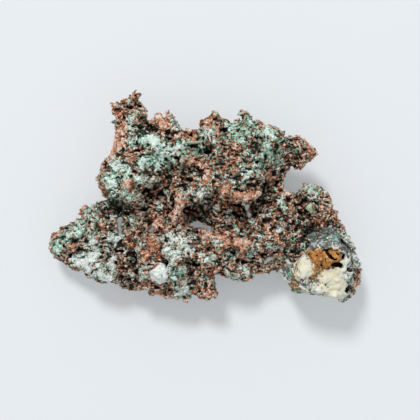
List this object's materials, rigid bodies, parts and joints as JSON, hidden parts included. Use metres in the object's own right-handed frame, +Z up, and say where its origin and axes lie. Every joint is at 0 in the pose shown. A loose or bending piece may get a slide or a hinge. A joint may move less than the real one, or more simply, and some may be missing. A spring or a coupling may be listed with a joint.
{
  "type": "native copper nugget",
  "caption": "Spongy, branching mass of native copper with green crusts, gripping a lump of milky quartz at one end; lies on its back.",
  "frame": {"origin": "centre of the nugget's box, on the surface it rests on", "axes": "+X along the length towards the quartz, +Y towards the horned edge, +Z up from the resting faces"},
  "size_m": [0.094, 0.0644, 0.0226],
  "materials": {
    "copper": "rough native copper with dark recesses and a green crust",
    "patina": "powdery green and white-green copper carbonate",
    "quartz": "milky, broken, stained cream and grey",
    "limonite": "dull, pitted, orange-brown",
    "calcite": "white, slightly waxy",
    "chrysocolla": "pale green, waxy"
  },
  "bodies": {
    "root": {"native_copper": "copper", "quartz_lump": "quartz", "limonite_nodule": "limonite", "calcite_grain": "calcite", "chrysocolla_grain": "chrysocolla"}
  },
  "joints": []
}
